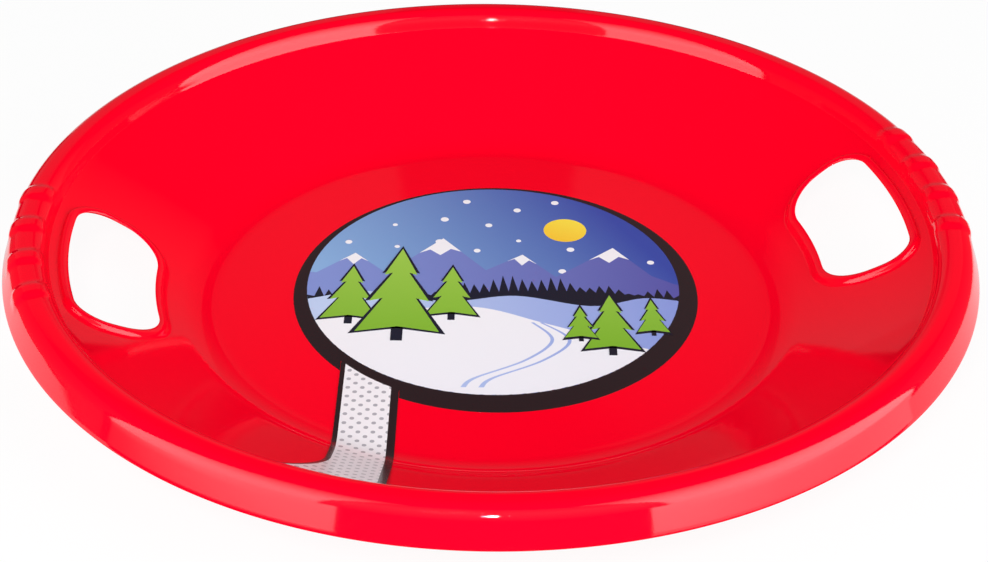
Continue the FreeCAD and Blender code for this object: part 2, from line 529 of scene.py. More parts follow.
@dataclass(frozen=True)
class LabelFilm(Finish):
    """White satin film with staggered rows of small grey dots."""

    skin: ClassVar[Skin] = Skin(wave_scale=60.0, wave_height=mm(0.02), roughness=0.28,
                                scuffed_roughness=0.48)
    dot_pitch: float = mm(3.6)
    dot_share: float = 0.55

    def run(self, recipe: Recipe) -> NodeSocket:
        """The dots, where two waves are both high or both low.

        Args:
            recipe: The material.

        Returns:
            One on a dot and zero beside it.
        """
        axes = recipe.axes(LABEL_HEADING, self.dot_pitch / math.pi)
        along, across = (recipe.maths("SINE", axes.outputs[name]) for name in ("X", "Y"))
        return recipe.maths("GREATER_THAN", recipe.maths("MULTIPLY", along, across), self.dot_share)


class Finishes:
    """Every finish of the sled, made once."""

    def __init__(self) -> None:
        """Makes the shared group and the materials."""
        surface = PlasticSurface().make()
        self.red = GlossPlastic("red_gloss_plastic", (0.93, 0.0005, 0.0155),
                                (0.91, 0.0004, 0.015)).make(surface)
        self.black = PrintedFilm("black_film", (0.026, 0.0140, 0.016), (0.030, 0.017, 0.019)).make(surface)
        self.sky = PrintedFilm("sky_print", (0.27, 0.46, 0.74), (0.045, 0.07, 0.36), (-0.085, -0.03, 0.0),
                               math.radians(20), mm(185)).make(surface)
        self.violet = PrintedFilm("peak_print", (0.22, 0.28, 0.62), (0.10, 0.09, 0.36), (-0.09, 0.0, 0.0),
                                  math.radians(-10), mm(190)).make(surface)
        self.night = PrintedFilm("dark_print", (0.016, 0.016, 0.030), (0.020, 0.012, 0.016)).make(surface)
        self.shade = PrintedFilm("shaded_snow_print", (0.50, 0.60, 0.84), (0.24, 0.30, 0.68),
                                 (-0.09, -0.02, 0.0), math.radians(-10), mm(190)).make(surface)
        self.snow = PrintedFilm("snow_print", (0.86, 0.84, 0.88), (0.80, 0.79, 0.86), (-0.06, 0.0, 0.0),
                                math.radians(-80), mm(120)).make(surface)
        self.green = PrintedFilm("fir_print", (0.20, 0.42, 0.030), (0.33, 0.56, 0.075), (0.0, -0.05, 0.0),
                                 math.radians(80), mm(90)).make(surface)
        self.yellow = PrintedFilm("moon_print", (0.86, 0.42, 0.02), (0.92, 0.72, 0.07), (0.03, 0.035, 0.0),
                                  math.radians(60), mm(40)).make(surface)
        self.label = LabelFilm("white_film", (0.84, 0.80, 0.84), (0.40, 0.38, 0.42)).make(surface)


# The dish


@dataclass
class DishSection:
    """The upper line of the dish from its middle to the foot of its skirt."""

    solid_top: float
    solid_pad_height: float = mm(1)
    outer_radius: float = mm(250)
    side_width: float = mm(108)
    wall: float = mm(2.5)
    floor_bend: float = mm(40)
    foot_bend: float = mm(1)
    inner_slope: float = math.radians(72)
    inner_face: float = mm(3.6)
    inner_round: float = mm(8.2)
    top_width: float = mm(3)
    outer_round: float = mm(8)
    skirt_height: float = mm(18.2)
    skirt_draft: float = math.radians(20)
    skirt_short: float = mm(0.05)

    def __post_init__(self) -> None:
        """Works out the straight wall that touches the floor's bend and the bend at the rim's foot."""
        self.rim_top = self.solid_top - self.solid_pad_height
        self.floor_radius = self.outer_radius - self.side_width
        rounded = self.outer_round * (1 - math.sin(self.skirt_draft))
        self.skirt_run = (self.skirt_height - self.wall / 2 - rounded) / math.cos(self.skirt_draft)
        self.crest_radius = (self.outer_radius - self.outer_round * math.cos(self.skirt_draft)
                             - self.skirt_run * math.sin(self.skirt_draft))
        slope_sine, slope_cosine = math.sin(self.inner_slope), math.cos(self.inner_slope)
        foot_radius = (self.crest_radius - self.top_width - (self.inner_round + self.foot_bend) * slope_sine
                       - self.inner_face * slope_cosine)
        foot_height = (self.rim_top - self.inner_round * (1 - slope_cosine) - self.inner_face * slope_sine
                       + self.foot_bend * slope_cosine)
        across = foot_radius - self.floor_radius
        rise = foot_height - self.wall - self.floor_bend
        difference = self.floor_bend - self.foot_bend
        self.wall_run = math.sqrt(across ** 2 + rise ** 2 - difference ** 2)
        self.wall_slope = math.atan2(rise, across) + math.atan2(difference, self.wall_run)
        self.wall_start = self.floor_radius + self.floor_bend * math.sin(self.wall_slope)
        self.wall_start_height = self.wall + self.floor_bend * (1 - math.cos(self.wall_slope))
        self.wall_end = self.wall_start + self.wall_run * math.cos(self.wall_slope)
        self.rim_start = foot_radius + self.foot_bend * slope_sine

    def wall_height(self, radius: float) -> float:
        """Height of the straight wall's upper side at a radius."""
        return self.wall_start_height + (radius - self.wall_start) * math.tan(self.wall_slope)

    def height(self, radius: float) -> float:
        """Height of the dish's upper side inside the rim.

        Args:
            radius: Distance from the axis.

        Returns:
            The height there.
        """
        if radius <= self.floor_radius:
            return self.wall
        if radius < self.wall_start:
            reach = radius - self.floor_radius
            return self.wall + self.floor_bend - math.sqrt(self.floor_bend ** 2 - reach ** 2)
        return self.wall_height(radius)

    def steps(self) -> list[Point]:
        """The line as small steps.

        Returns:
            The step outwards and the step upwards of each short piece, from the middle to the skirt's foot.
        """
        # The length, the turn and the number of steps of each straight or bend
        chain = [
            (self.floor_radius, 0.0, 4),
            (self.floor_bend * self.wall_slope, self.wall_slope, 10),
            (self.wall_run, 0.0, 20),
            (self.foot_bend * (self.inner_slope - self.wall_slope), self.inner_slope - self.wall_slope, 5),
            (self.inner_face, 0.0, 3),
            (self.inner_round * self.inner_slope, -self.inner_slope, 12),
            (self.top_width, 0.0, 2),
            (self.outer_round * (QUARTER - self.skirt_draft), self.skirt_draft - QUARTER, 12),
            (self.skirt_run + self.wall / 2 - self.skirt_short, 0.0, 5),
        ]
        heading = 0.0
        moves = []
        for length, turn, count in chain:
            part = turn / count
            chord = length / count
            if turn:
                chord *= 2 * math.sin(part / 2) / part
            for _ in range(count):
                middle = heading + part / 2
                moves.append((chord * math.cos(middle), chord * math.sin(middle)))
                heading += part
        return moves


@dataclass
class HandHole:
    """One hand-hole on +X with the rounded bead round it."""

    section: DishSection
    length: float = mm(96.6)
    inner_margin: float = mm(12.8)
    outer_margin: float = mm(9.1)
    inner_corner: float = mm(23.6)
    outer_corner: float = mm(14.5)
    bead_width: float = mm(4.6)
    bead_height: float = mm(2.6)
    cutter_margin: float = mm(0.7)
    cutter_half: float = mm(12)
    arc_steps: int = 26
    corner_steps: int = 12

    def __post_init__(self) -> None:
        """Works out the hole's radii and its half angle."""
        self.inner_radius = self.section.wall_start + self.inner_margin
        self.outer_radius = self.section.wall_end - self.outer_margin
        self.half_angle = math.asin(self.length / (self.inner_radius + self.outer_radius))

    def outline(self, reach: float, lift: float) -> list[Vector]:
        """A line round the hole.

        Args:
            reach: How far outside the hole's edge the line runs.
            lift: How far it stands above the wall, square to it.

        Returns:
            Its points, anticlockwise from the outer side's middle.
        """
        outer, inner = self.outer_radius + reach, self.inner_radius - reach
        outer_round, inner_round = self.outer_corner + reach, self.inner_corner + reach
        outer_arm, inner_arm = outer - outer_round, inner + inner_round
        outer_turn = self.half_angle - math.asin((outer_round - reach) / outer_arm)
        inner_turn = self.half_angle - math.asin((inner_round - reach) / inner_arm)
        outer_centre, inner_centre = polar(outer_arm, outer_turn), polar(inner_arm, inner_turn)
        side = self.half_angle + QUARTER
        arcs = [
            (ORIGIN, outer, 0.0, outer_turn, self.arc_steps),
            (outer_centre, outer_round, outer_turn, side, self.corner_steps),
            (inner_centre, inner_round, side, inner_turn + math.pi, self.corner_steps),
            (ORIGIN, inner, inner_turn, 0.0, self.arc_steps),
        ]
        half = []
        for number, (centre, radius, start, end, count) in enumerate(arcs):
            # The second and the last arc start where the one before ends
            first = 1 if number in (1, 3) else 0
            turns = [start + (end - start) * at / count for at in range(first, count + 1)]
            half += [centre + polar(radius, turn) for turn in turns]
        points = half + [Vector((point.x, -point.y, 0.0)) for point in reversed(half[1:-1])]
        rise = lift / math.cos(self.section.wall_slope)
        for point in points:
            point.z = self.section.wall_height(point.xy.length) + rise
        return points

    def make_cutter(self) -> Object:
        """A block that cuts the wall under the bead's outer side.

        Returns:
            The block, through the wall and past both its sides.
        """
        reach = self.bead_width + self.cutter_margin
        lower, upper = (self.outline(reach, lift) for lift in (-self.cutter_half, self.cutter_half))
        block = set_out("hand_hole_cutter", lower)
        with editing(block, whole=True):
            bpy.ops.mesh.edge_face_add()
            extrude_to(block, bpy.ops.mesh.extrude_region_move, lower, upper)
        merge_and_face_out(block)
        return block

    def bead_line(self) -> list[Point]:
        """The bead's section, where the wall's edge turns up and back underneath.

        Returns:
            Each point's reach past the hole's edge and its lift off the wall, from the outer foot inwards.
        """
        wide, high, wall = self.bead_width, self.bead_height, self.section.wall
        foot = ((1.6, -0.15), (0.8, 0.1), (0.3, 0.42))
        outer_side = ((-0.1, 0.38), (-0.6, 0.66), (-1.3, 0.88))
        inner_side = ((1.2, 0.98), (0.5, 0.91), (0.1, 0.8), (0.0, 0.68), (0.5, 0.45), (1.7, 0.15))
        undercut = (mm(3.0), mm(-0.4))
        underside = ((0.4, 0.5), (1.3, -0.1), (2.2, 0.3))
        return [
            *((wide + mm(past), mm(lift)) for past, lift in foot),
            *((wide + mm(past), high * share) for past, share in outer_side),
            (wide / 2, high),
            *((mm(reach), high * share) for reach, share in inner_side),
            undercut,
            *((wide + mm(past), mm(lift) - wall) for past, lift in underside),
        ]

    def make_bead(self) -> Object:
        """The edge of the wall turned up round the hole.

        Returns:
            The bead as a closed ring.
        """
        lines = [self.outline(reach, lift) for reach, lift in self.bead_line()]
        bead = set_out("hand_hole_bead", lines[0])
        with editing(bead, whole=True):
            for line, following in zip(lines, lines[1:]):
                extrude_to(bead, bpy.ops.mesh.extrude_edges_move, line, following)
            shape = bmesh.from_edit_mesh(bead.data)
            for edge in shape.edges:
                edge.select = edge.is_boundary
            bmesh.update_edit_mesh(bead.data)
            bpy.ops.mesh.bridge_edge_loops()
        merge_and_face_out(bead)
        return bead


@dataclass
class Dish:
    """The one-piece moulding, with its hand-holes, their beads and the finger pads."""

    section: DishSection
    hole: HandHole
    holes: int = 2
    pads: int = 4
    pad_pitch: float = mm(31.4)
    pad_length: float = mm(16.4)
    pad_height: float = mm(0.97)
    pad_edge: float = mm(5.4)
    pad_flat_extra: float = mm(0.6)
    pad_drop: float = mm(4.5)
    pad_columns: int = 24
    fine_columns: int = 53
    coarse_columns: int = 150
    lip_round: float = mm(1.2)
    lip_segments: int = 4
    lip_corner: float = math.radians(60)
    level_within: float = mm(0.02)

    def __post_init__(self) -> None:
        """Works out the turn between hand-holes, the pads' angle and the spin's steps."""
        self.hole_turn = 2 * math.pi / self.holes
        self.pitch = self.pad_pitch / self.section.crest_radius
        self.fine_step = self.pitch / self.pad_columns
        self.fine_half = self.fine_step * self.fine_columns

    def build(self) -> Object:
        """Makes the whole dish.

        Returns:
            The dish as one object at the origin.
        """
        shell = self.spin_shell()
        self.raise_pads(shell)
        finish_with(shell, Tool.WALL, thickness=self.section.wall, offset=-1.0, use_even_offset=True,
                    use_quality_normals=True)
        self.round_lip(shell)
        self.cut_holes(shell)
        join(shell, self.at_each_hole(self.hole.make_bead()))
        smooth(shell)
        return shell

    def at_each_hole(self, piece: Object) -> list[Object]:
        """A piece of the first hand-hole with its copies at the others."""
        return [piece] + [turned_copy(piece, self.hole_turn * number) for number in range(1, self.holes)]

    def spin_shell(self) -> Object:
        """Draws the section and spins it round the axis, with finer steps at the pads.

        Returns:
            The dish's upper skin, open below.
        """
        bpy.ops.mesh.primitive_plane_add(size=self.section.wall)
        shell = bpy.context.active_object
        shell.name = "sled_dish"
        start = -self.fine_half
        with editing(shell, whole=True):
            bpy.ops.mesh.merge(type="CENTER")
            bpy.ops.transform.translate(value=(0.0, 0.0, self.section.wall))
            for outwards, upwards in self.section.steps():
                bpy.ops.mesh.extrude_region_move(
                    TRANSFORM_OT_translate={"value": polar(outwards, start, upwards)})
            bpy.ops.mesh.select_all(action="SELECT")
            fine = 2 * self.fine_half
            spins = ((fine, 2 * self.fine_columns), (self.hole_turn - fine, self.coarse_columns))
            for angle, steps in spins * self.holes:
                bpy.ops.mesh.spin(steps=steps, angle=-angle, center=ORIGIN, axis=UP)
        merge_and_face_out(shell)
        return shell

    def raise_pads(self, shell: Object) -> None:
        """Draws the finger pads up out of the rim, flat on top with soft edges.

        Args:
            shell: The dish's upper skin.
        """
        lowest = self.section.rim_top - self.pad_drop
        turns = [self.hole_turn * side + (number - (self.pads - 1) / 2) * self.pitch
                 for side in range(self.holes) for number in range(self.pads)]
        lines = [polar(1.0, turn) for turn in turns]
        flat_half = (self.pad_length / 2 - self.pad_edge + self.pad_flat_extra) / self.section.crest_radius

        def on_top(place: Vector) -> bool:
            """Whether a place is on the flat of a pad.

            Args:
                place: A point of the skin.

            Returns:
                True if it is to be drawn up whole.
            """
            radius = place.xy.length
            if radius < self.section.rim_start + self.section.inner_round / 2 or place.z < lowest:
                return False
            level = Vector((place.x, place.y, 0.0)) / radius
            return any((level - line).length < flat_half for line in lines)

        with editing(shell):
            found = pick(shell, on_top)
            bpy.ops.transform.shrink_fatten(
                value=self.pad_height, use_proportional_edit=True, use_proportional_connected=True,
                proportional_edit_falloff="SMOOTH", proportional_size=self.pad_edge)
        LOG.info("finger pads drawn up from %d points", found)

    def round_lip(self, shell: Object) -> None:
        """Rounds both edges of the skirt's foot.

        Args:
            shell: The dish with its wall thickness.
        """
        lowest = self.section.rim_top - self.section.skirt_height + self.section.wall
        with editing(shell):
            bpy.ops.mesh.select_mode(type="EDGE")
            shape = bmesh.from_edit_mesh(shell.data)
            for edge in shape.edges:
                edge.select = False
                level = abs(edge.verts[0].co.z - edge.verts[1].co.z) < self.level_within
                middle = (edge.verts[0].co + edge.verts[1].co) / 2
                if level and middle.z < lowest and middle.xy.length > self.section.crest_radius:
                    edge.select = edge.calc_face_angle(0.0) > self.lip_corner
            bmesh.update_edit_mesh(shell.data)
            bpy.ops.mesh.bevel(offset=self.lip_round, segments=self.lip_segments, affect="EDGES")

    def cut_holes(self, shell: Object) -> None:
        """Cuts the hand-holes through the wall.

        Args:
            shell: The dish with its wall thickness.
        """
        for block in self.at_each_hole(self.hole.make_cutter()):
            finish_with(shell, Tool.CUT, operation="DIFFERENCE", solver="EXACT", object=block)
            bpy.data.objects.remove(block)

    def dress(self, piece: Object, finishes: Finishes) -> None:
        """Gives the dish its finish and its place in the sled.

        Args:
            piece: The finished mesh.
            finishes: The sled's finishes.
        """
        piece.data.materials.clear()
        piece.data.materials.append(finishes.red)
        seat(piece, Slot.DISH, "dish")


# The films


def smooth_line(points: Sequence[Point], steps: int = 8) -> list[Point]:
    """A soft line through a few points.

    Args:
        points: The points that it passes.
        steps: Short pieces between two of them.

    Returns:
        The points of the line.
    """
    line = []
    ends = [points[0], *points, points[-1]]
    for before, start, end, after in zip(ends, ends[1:], ends[2:], ends[3:]):
        for number in range(steps):
            way = number / steps
            weights = (-way + 2 * way ** 2 - way ** 3, 2 - 5 * way ** 2 + 3 * way ** 3,
                       way + 4 * way ** 2 - 3 * way ** 3, way ** 3 - way ** 2)
            corners = (before, start, end, after)
            line.append(tuple(sum(weight * corner[axis] for weight, corner in zip(weights, corners)) / 2
                              for axis in (0, 1)))
    return line + [points[-1]]


def ring(x: float, y: float, radius: float, steps: int = 18) -> list[Point]:
    """A circle as a closed line of points."""
    turns = [2 * math.pi * number / steps for number in range(steps)]
    return [(x + radius * math.cos(turn), y + radius * math.sin(turn)) for turn in turns]


def fir(x: float, y: float, height: float, width: float) -> list[Point]:
    """Outline of a fir tree.

    Args:
        x: Middle of its foot, to the right.
        y: Its foot, upwards.
        height: Its height.
        width: Its width at the foot.

    Returns:
        The outline's points.
    """
    half = [(0.0, 1.0), (0.2, 0.68), (0.1, 0.7), (0.36, 0.36), (0.2, 0.39), (0.5, 0.0)]
    right = [(x + across * width, y + up * height) for across, up in half]
    left = [(x - across * width, y + up * height) for across, up in reversed(half[1:])]
    sag = (x, y + 0.06 * height)
    return right + [sag] + left


class Layer(IntEnum):
    """The order of the inks, from the film upwards."""

    SKY = 1
    AIR = 2
    PEAKS = 3
    CAPS = 4
    WOODS = 5
    SLOPE = 6
    HILL = 7
    TRACKS = 8
    FIRS = 9


@dataclass
class WinterPicture:
    """A plain winter view in inks on the round film, set out in shares of its radius."""

    middle: Vector
    turn: float
    film_top: float
    finishes: Finishes
    radius: float = mm(99)
    ink: float = mm(0.03)
    merge_gap: float = mm(0.0005)
    edge: float = 0.985
    edge_steps: int = 40
    moon: Point = (0.40, 0.56)
    moon_radius: float = 0.12
    moon_clearance: float = 0.2
    flakes: int = 46
    flake_reach: float = 0.93
    flake_floor: float = 0.05
    flake_size: float = 0.014
    flake_growth: float = 0.010
    cap_share: float = 0.42
    cap_wave: float = 0.03
    tree_tops: int = 38
    track_gap: float = 0.09
    track_width: float = 0.016
    track_growth: float = 0.012
    trunk_share: float = 0.07
    trunk_drop: float = 0.10
    trunk_rise: float = 0.1
    fir_drop: float = 0.02
    fir_rise: float = 0.05
    fir_spread: float = 1.15
    plates: list[Object] = field(default_factory=list, init=False)

    def lay(self, name: str, outline: Sequence[Point], layer: int, finish: Material) -> None:
        """Lays one ink as a thin closed plate.

        Args:
            name: Name of the plate.
            outline: Its outline, in shares of the picture's radius.
            layer: How many inks high it stands.
            finish: Its material.
        """
        turn = Matrix.Rotation(self.turn, 3, "Z")
        level = self.film_top - self.ink
        plate = set_out(name, [self.middle + turn @ Vector((x * self.radius, y * self.radius, level))
                               for x, y in outline])
        with editing(plate, whole=True):
            bpy.ops.mesh.edge_face_add()
            bpy.ops.mesh.extrude_region_move(
                TRANSFORM_OT_translate={"value": (0.0, 0.0, self.ink * (layer + 1))})
        plate.data.materials.append(finish)
        self.plates.append(plate)

    def land(self, left: float, right: float, line: Sequence[Point]) -> list[Point]:
        """An area from a skyline down to the picture's lower edge.

        Args:
            left: Where the skyline starts on the picture's edge, as a direction in degrees.
            right: Where it ends.
            line: The skyline between them.

        Returns:
            The area's outline.
        """
        start, end = math.radians(right), math.radians(left) - 2 * math.pi
        turns = [start + (end - start) * number / self.edge_steps for number in range(self.edge_steps + 1)]
        return list(line) + [(math.cos(turn), math.sin(turn)) for turn in turns]

    def paint_sky(self) -> None:
        """The sky, with a moon and snow in the air."""
        self.lay("sky", ring(0.0, 0.0, 1.0, steps=120), Layer.SKY, self.finishes.sky)
        self.lay("moon", ring(*self.moon, self.moon_radius, steps=48), Layer.AIR, self.finishes.yellow)
        golden = math.pi * (3 - math.sqrt(5))
        for number in range(self.flakes):
            reach = self.flake_reach * math.sqrt((number + 0.5) / self.flakes)
            x, y = reach * math.cos(golden * number), reach * math.sin(golden * number)
            if y > self.flake_floor and math.dist((x, y), self.moon) > self.moon_clearance:
                size = self.flake_size + self.flake_growth * math.sin(number * 1.7) ** 2
                self.lay("snow_in_air", ring(x, y, size, steps=14), Layer.AIR, self.finishes.snow)

    def paint_peaks(self) -> None:
        """The mountains, with snow on their tops."""
        peaks = [(-0.96, 0.10), (-0.76, 0.30), (-0.58, 0.10), (-0.28, 0.46), (-0.04, 0.14), (0.16, 0.30),
                 (0.34, 0.08), (0.66, 0.38), (0.86, 0.10), (0.98, 0.02)]
        self.lay("peaks", self.land(174.0, 1.0, peaks), Layer.PEAKS, self.finishes.violet)
        for before, top, after in zip(peaks[0::2], peaks[1::2], peaks[2::2]):
            left, right = (self.between(top, foot, self.cap_share) for foot in (before, after))
            hem = []
            for share, wave in ((0.25, self.cap_wave), (0.5, -self.cap_wave), (0.75, self.cap_wave)):
                x, y = self.between(right, left, share)
                hem.append((x, y + wave))
            self.lay("snow_cap", [top, right, *hem, left], Layer.CAPS, self.finishes.snow)

    @staticmethod
    def between(start: Point, end: Point, share: float) -> Point:
        """A point part of the way from one to another."""
        return (start[0] + (end[0] - start[0]) * share, start[1] + (end[1] - start[1]) * share)

    def paint_woods(self) -> None:
        """A dark line of woods below the mountains, which rises and falls in slow waves."""
        line = []
        for number in range(self.tree_tops + 1):
            x = -self.edge + 2 * self.edge * number / self.tree_tops
            foot = -0.10 + 0.04 * math.sin(3 * x + 0.6)
            rise = 0.085 + 0.05 * math.sin(5 * x + 1.0) + 0.03 * math.sin(23 * x)
            line += [(x - 0.020, foot), (x, foot + rise)]
        inside = [point for point in line if math.hypot(*point) < self.edge]
        self.lay("woods", self.land(187.0, -5.0, inside), Layer.WOODS, self.finishes.night)

    def paint_snow(self) -> None:
        """The snow: far slopes in shade, a near hill in light, and two tracks down it."""
        slope = smooth_line([(-0.985, -0.16), (-0.66, -0.08), (-0.25, -0.17), (0.12, -0.11), (0.52, -0.20),
                             (0.80, -0.12), (0.985, -0.14)])
        self.lay("far_slope", self.land(190.0, -8.5, slope), Layer.SLOPE, self.finishes.shade)
        hill = smooth_line([(-0.93, -0.36), (-0.55, -0.27), (-0.10, -0.22), (0.28, -0.37), (0.62, -0.52),
                            (0.80, -0.59)])
        self.lay("near_hill", self.land(201.5, -36.5, hill), Layer.HILL, self.finishes.snow)
        for shift in (0.0, self.track_gap):
            way = smooth_line([(0.20 + shift / 2, -0.36), (0.30 + shift, -0.52), (0.16 + shift, -0.70),
                               (-0.10 + shift, -0.86), (-0.16 + shift, -0.94)])
            back = [(x + self.track_width + self.track_growth * number / len(way), y)
                    for number, (x, y) in enumerate(way)]
            self.lay("track", way + back[::-1], Layer.TRACKS, self.finishes.shade)

    def paint_firs(self) -> None:
        """Green firs with dark edges on both sides of the hill."""
        trees = [(-0.76, -0.34, 0.50, 0.30), (-0.22, -0.30, 0.46, 0.27), (-0.50, -0.46, 0.80, 0.44),
                 (0.84, -0.44, 0.30, 0.17), (0.62, -0.60, 0.50, 0.29), (0.46, -0.50, 0.28, 0.17)]
        for number, (x, y, height, width) in enumerate(trees):
            layer = Layer.FIRS + 2 * number
            half = width * self.trunk_share
            foot, top = y - self.trunk_drop * height, y + self.trunk_rise
            trunk = [(x - half, foot), (x + half, foot), (x + half, top), (x - half, top)]
            border = fir(x, y - self.fir_drop, height + self.fir_rise, width * self.fir_spread)
            self.lay("trunk", trunk, layer, self.finishes.night)
            self.lay("fir_edge", border, layer, self.finishes.night)
            self.lay("fir", fir(x, y, height, width), layer + 1, self.finishes.green)

    def build(self) -> Object:
        """Prints the whole picture.

        Returns:
            The inks as one object.
        """
        self.paint_sky()
        self.paint_peaks()
        self.paint_woods()
        self.paint_snow()
        self.paint_firs()
        picture = self.plates[0]
        join(picture, self.plates[1:])
        picture.name = "decal_print"
        merge_and_face_out(picture, self.merge_gap)
        return picture


@dataclass
class RoundDecal:
    """The round black film on the dish's floor, with a picture printed a little off its middle."""

    view_turn: float
    shift: float = mm(2.6)
    picture_shift: tuple[float, float] = (mm(-1.4), mm(6.3))

    @property
    def middle(self) -> Vector:
        """Middle of the film, in plan."""
        return polar(self.shift, self.view_turn)

    def dress(self, finishes: Finishes) -> None:
        """Gives the film its black ground and its printed picture.

        Args:
            finishes: The sled's finishes.
        """
        film = frame["nodes"]["round_decal"]
        film.data.materials.clear()
        film.data.materials.append(finishes.black)
        film_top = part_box("round_decal")[1].z
        turn = Matrix.Rotation(self.view_turn, 3, "Z")
        middle = self.middle + turn @ Vector((*self.picture_shift, 0.0))
        picture = WinterPicture(middle, self.view_turn, film_top, finishes).build()
        seat(picture, Slot.DECAL)


@dataclass
class TailLabel:
    """The strip that runs from the round film up the dish's wall: white with black edges."""

    section: DishSection
    disc_middle: Vector
    heading: float = LABEL_HEADING
    near_side: float = mm(44.8)
    width: float = mm(30.2)
    head_radius: float = mm(101.5)
    end_margin: float = mm(7.3)
    flare_run: float = mm(62)
    flare_radius: float = mm(38)
    flare_angle: float = math.radians(58)
    lift: float = mm(0.3)
    film: float = mm(0.15)
    halvings: int = 40
    rows: int = 96
    columns: tuple[float, ...] = (0.0, 0.13, 0.25, 0.37, 0.50, 0.63, 0.77, 0.92, 1.0)

    def __post_init__(self) -> None:
        """Works out the strip's directions and its ends."""
        self.along = polar(1.0, self.heading)
        self.across = Vector((self.along.y, -self.along.x, 0.0))
        self.flare_start = self.section.wall_end - self.flare_run
        room = self.section.wall_run - self.end_margin
        self.end_radius = self.section.wall_start + room * math.cos(self.section.wall_slope)

    def side(self, share: float, run: float) -> float:
        """Distance of a lengthwise line from the dish's middle line.

        Args:
            share: Which line, from 0 at the straight edge to 1 at the flaring one.
            run: How far along the strip.

        Returns:
            The distance across.
        """
        past = max(0.0, run - self.flare_start)
        bend_end = self.flare_radius * math.sin(self.flare_angle)
        bent = min(past, bend_end)
        flare = self.flare_radius - math.sqrt(self.flare_radius ** 2 - bent ** 2)
        flare += (past - bent) * math.tan(self.flare_angle)
        flaring = (share - self.columns[1]) / (self.columns[-2] - self.columns[1])
        return self.near_side + share * self.width + flare * min(max(flaring, 0.0), 1.0)

    def ends(self, share: float) -> tuple[float, float]:
        """Where a lengthwise line starts at the disc and ends on the wall.

        Args:
            share: Which line, from 0 to 1.

        Returns:
            The runs of its two ends.
        """
        centre_run, centre_side = self.disc_middle.dot(self.along), self.disc_middle.dot(self.across)
        offset = self.side(share, 0.0) - centre_side
        head = centre_run + math.sqrt(self.head_radius ** 2 - offset ** 2)
        low, high = head, self.end_radius
        for _ in range(self.halvings):
            middle = (low + high) / 2
            if math.hypot(middle, self.side(share, middle)) < self.end_radius:
                low = middle
            else:
                high = middle
        return head, low

    def place(self, share: float, way: float) -> Vector:
        """A point of the strip's lower side.

        Args:
            share: Across, from 0 to 1.
            way: Along, from 0 at the head to 1 at the end.

        Returns:
            The point, on the dish.
        """
        head, end = self.ends(share)
        run = head + (end - head) * way
        point = self.along * run + self.across * self.side(share, run)
        radius = point.length
        section = self.section
        reach = min(max(radius, section.floor_radius), section.wall_start) - section.floor_radius
        slope = math.asin(reach / section.floor_bend)
        point.z = section.height(radius) + self.lift / math.cos(slope)
        return point

    def build(self) -> Object:
        """Lays the strip on the dish.

        Returns:
            The strip, with its black edges as its second material.
        """
        count = len(self.columns) - 1
        bpy.ops.mesh.primitive_grid_add(x_subdivisions=self.rows, y_subdivisions=count, size=1.0)
        strip = bpy.context.active_object
        strip.name = "tail_strip"
        for face in strip.data.polygons:
            column = int((face.center.y + 0.5) * count)
            face.material_index = 1 if column in (0, count - 1) else 0
        for point in strip.data.vertices:
            share = self.columns[round((point.co.y + 0.5) * count)]
            point.co = self.place(share, point.co.x + 0.5)
        with editing(strip, whole=True):
            bpy.ops.mesh.normals_make_consistent(inside=False)
        if strip.data.polygons[0].normal.z < 0:
            with editing(strip, whole=True):
                bpy.ops.mesh.flip_normals()
        finish_with(strip, Tool.WALL, thickness=self.film, offset=1.0, use_even_offset=True)
        smooth(strip)
        return strip

    def dress(self, piece: Object, finishes: Finishes) -> None:
        """Gives the strip its white face and black edges.

        Args:
            piece: The finished mesh.
            finishes: The sled's finishes.
        """
        piece.data.materials.append(finishes.label)
        piece.data.materials.append(finishes.black)
        seat(piece, Slot.LABEL, "tail_label")


# The studio


@dataclass
class PhotoCamera:
    """A camera that looks down on the dish as the photograph does."""

    image_width: int = 988
    focal_pixels: float = 2043.116
    distance: float = mm(1054.433)
    elevation: float = math.radians(30.97)
    extra_pitch: float = math.radians(2.316)
    yaw: float = math.radians(0.101)
    roll: float = math.radians(0.73)
    aim_height: float = mm(60)
    view_turn: float = math.radians(-9.07)
    sensor_width: float = 36.0
    clip_start: float = mm(10)

    def build(self) -> None:
        """Makes the camera and hands it to the scene."""
        place = Vector((0.0, -self.distance * math.cos(self.elevation),
                        self.aim_height + self.distance * math.sin(self.elevation)))
        pitch = self.elevation + self.extra_pitch
        ahead = Vector((math.sin(self.yaw) * math.cos(pitch), math.cos(self.yaw) * math.cos(pitch),
                        -math.sin(pitch)))
        right = ahead.cross(UP).normalized()
        upward = right.cross(ahead)
        rolled_right = right * math.cos(self.roll) + upward * math.sin(self.roll)
        rolled_up = upward * math.cos(self.roll) - right * math.sin(self.roll)
        stand = Matrix((rolled_right, rolled_up, -ahead)).transposed().to_4x4()
        data = bpy.data.cameras.new("photo_camera")
        data.sensor_width = self.sensor_width
        data.lens = self.focal_pixels / self.image_width * self.sensor_width
        data.clip_start = self.clip_start
        camera = bpy.data.objects.new("photo_camera", data)
        bpy.context.collection.objects.link(camera)
        camera.matrix_world = Matrix.Rotation(self.view_turn, 4, "Z") @ Matrix.Translation(place) @ stand
        bpy.context.scene.camera = camera


